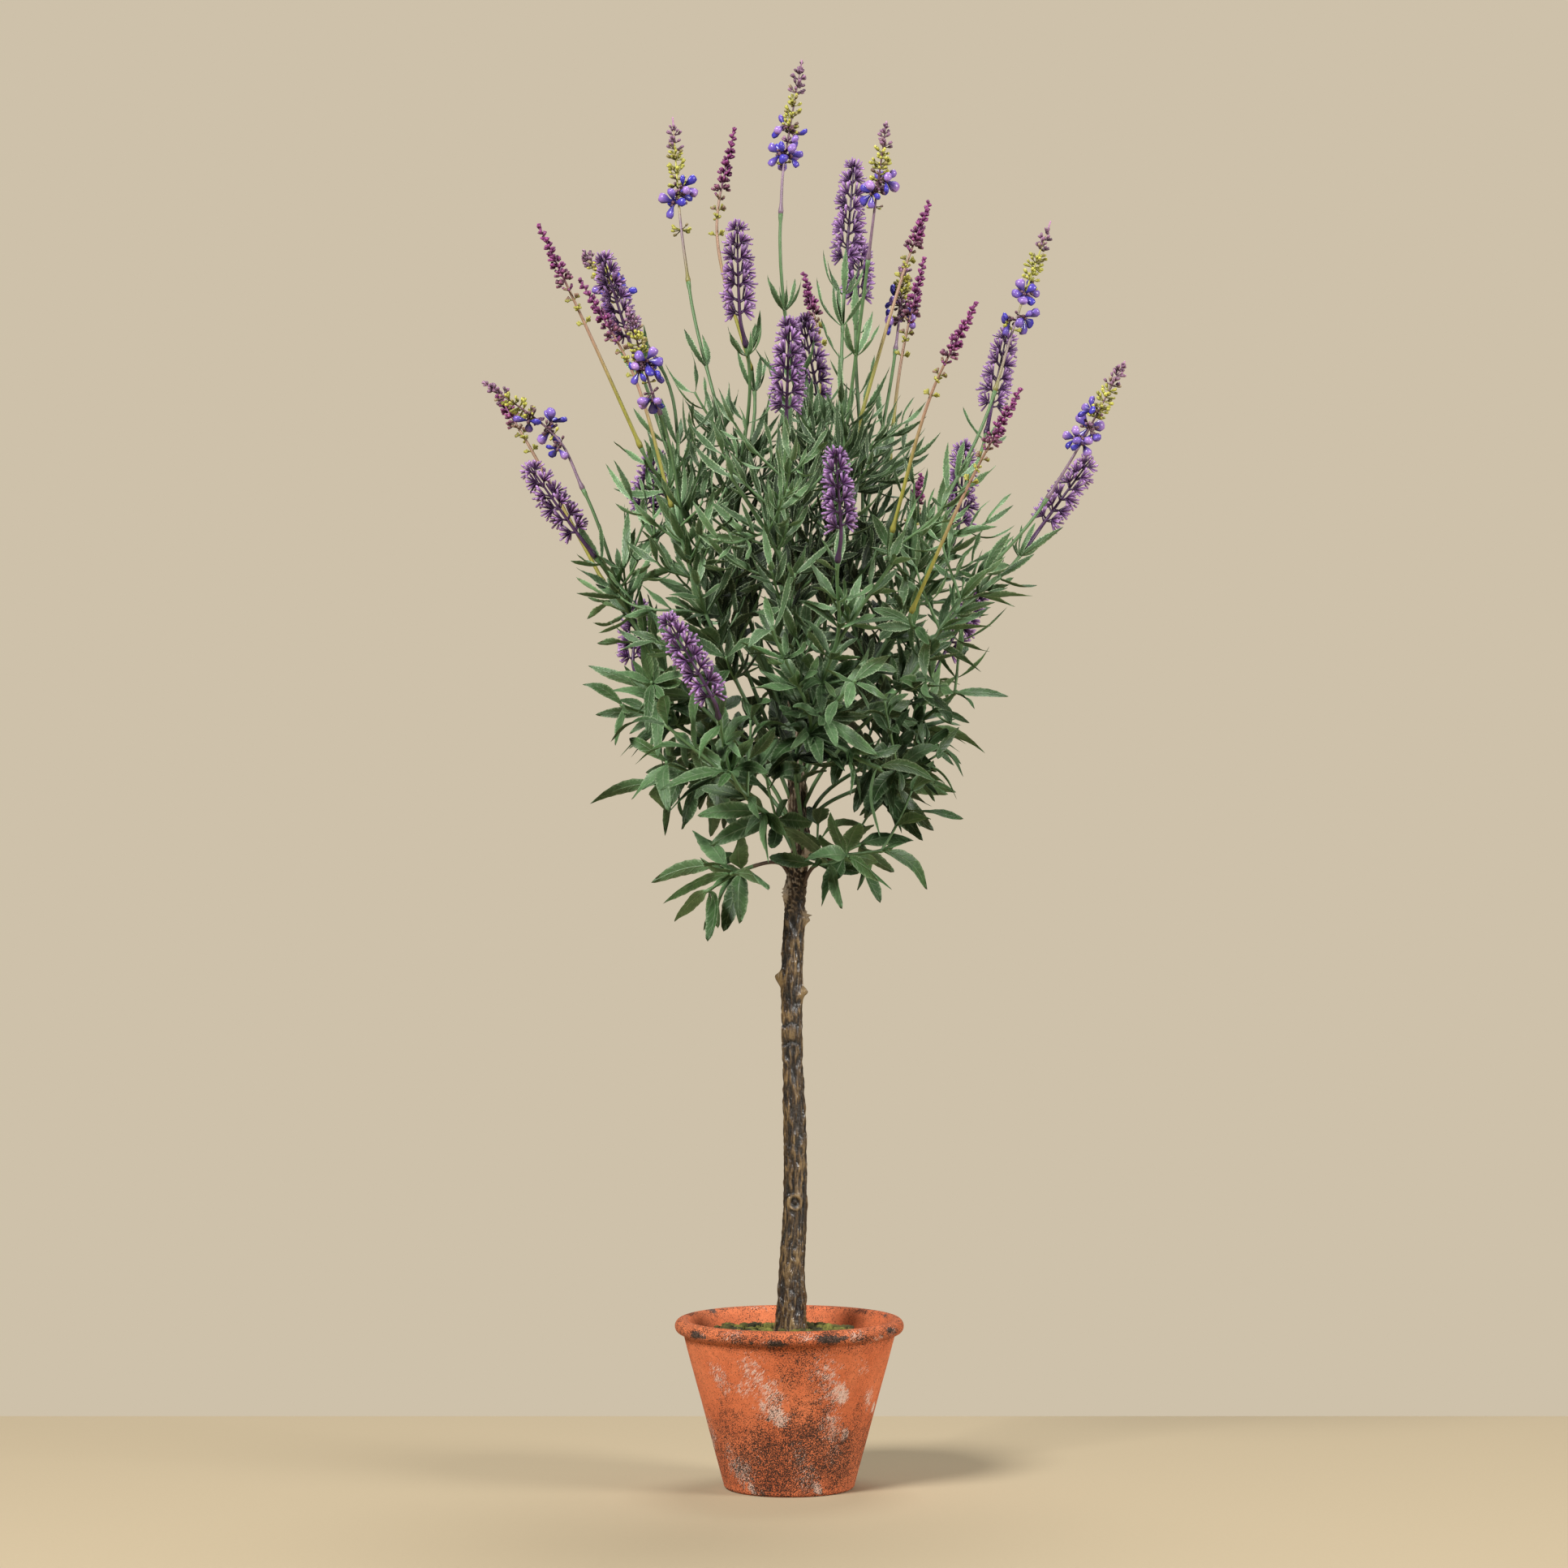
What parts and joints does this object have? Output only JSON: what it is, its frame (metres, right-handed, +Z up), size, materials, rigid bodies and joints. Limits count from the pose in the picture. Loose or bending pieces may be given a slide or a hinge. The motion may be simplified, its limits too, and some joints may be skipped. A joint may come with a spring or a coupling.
{
  "type": "artificial lavender tree in a terracotta pot",
  "caption": "Faux lavender standard: bare trunk, round leafy head with violet flower spikes, beaded terracotta pot.",
  "frame": {"origin": "centre of the pot's flat underside", "axes": "+Z up along the trunk, -Y towards the viewer of the picture"},
  "size_m": [0.4488, 0.3708, 0.999],
  "materials": {
    "terracotta": "matt, weathered, limewashed in patches",
    "plaster": "matt, rough cast",
    "soil": "matt, crumbly",
    "moss": "matt, tufted",
    "bark": "satin varnish over ridged bark",
    "violet_blossom": "satin moulded",
    "plum_bead": "matt moulded",
    "mauve_floret": "matt moulded",
    "green_leaf": "matt, lightly dusted"
  },
  "bodies": {
    "root": {"pot": "terracotta", "ballast": "plaster", "soil": "soil", "moss": "moss", "trunk": "bark", "blossom_spike_1": "violet_blossom", "blossom_spike_2": "violet_blossom", "blossom_spike_3": "violet_blossom", "blossom_spike_4": "violet_blossom", "blossom_spike_5": "violet_blossom", "blossom_spike_6": "violet_blossom", "blossom_spike_7": "violet_blossom", "blossom_spike_8": "violet_blossom", "blossom_spike_9": "violet_blossom", "bead_spike_1": "plum_bead", "bead_spike_2": "plum_bead", "bead_spike_3": "plum_bead", "bead_spike_4": "plum_bead", "bead_spike_5": "plum_bead", "bead_spike_6": "plum_bead", "bead_spike_7": "plum_bead", "bead_spike_8": "plum_bead", "bead_spike_9": "plum_bead", "bead_spike_10": "plum_bead", "comb_spike_1": "mauve_floret", "comb_spike_2": "mauve_floret", "comb_spike_3": "mauve_floret", "comb_spike_4": "mauve_floret", "comb_spike_5": "mauve_floret", "comb_spike_6": "mauve_floret", "comb_spike_7": "mauve_floret", "comb_spike_8": "mauve_floret", "comb_spike_9": "mauve_floret", "comb_spike_10": "mauve_floret", "comb_spike_11": "mauve_floret", "comb_spike_12": "mauve_floret", "comb_spike_13": "mauve_floret", "comb_spike_14": "mauve_floret", "comb_spike_15": "mauve_floret", "lavender_spray_1": "green_leaf", "lavender_spray_2": "green_leaf", "lavender_spray_3": "green_leaf", "lavender_spray_4": "green_leaf", "lavender_spray_5": "green_leaf", "lavender_spray_6": "green_leaf", "lavender_spray_7": "green_leaf", "lavender_spray_8": "green_leaf", "lavender_spray_9": "green_leaf", "lavender_spray_10": "green_leaf", "lavender_spray_11": "green_leaf", "lavender_spray_12": "green_leaf", "lavender_spray_13": "green_leaf", "lavender_spray_14": "green_leaf", "lavender_spray_15": "green_leaf", "leafy_spray_1": "green_leaf", "leafy_spray_2": "green_leaf", "leafy_spray_3": "green_leaf", "leafy_spray_4": "green_leaf", "leafy_spray_5": "green_leaf", "leafy_spray_6": "green_leaf"}
  },
  "joints": []
}
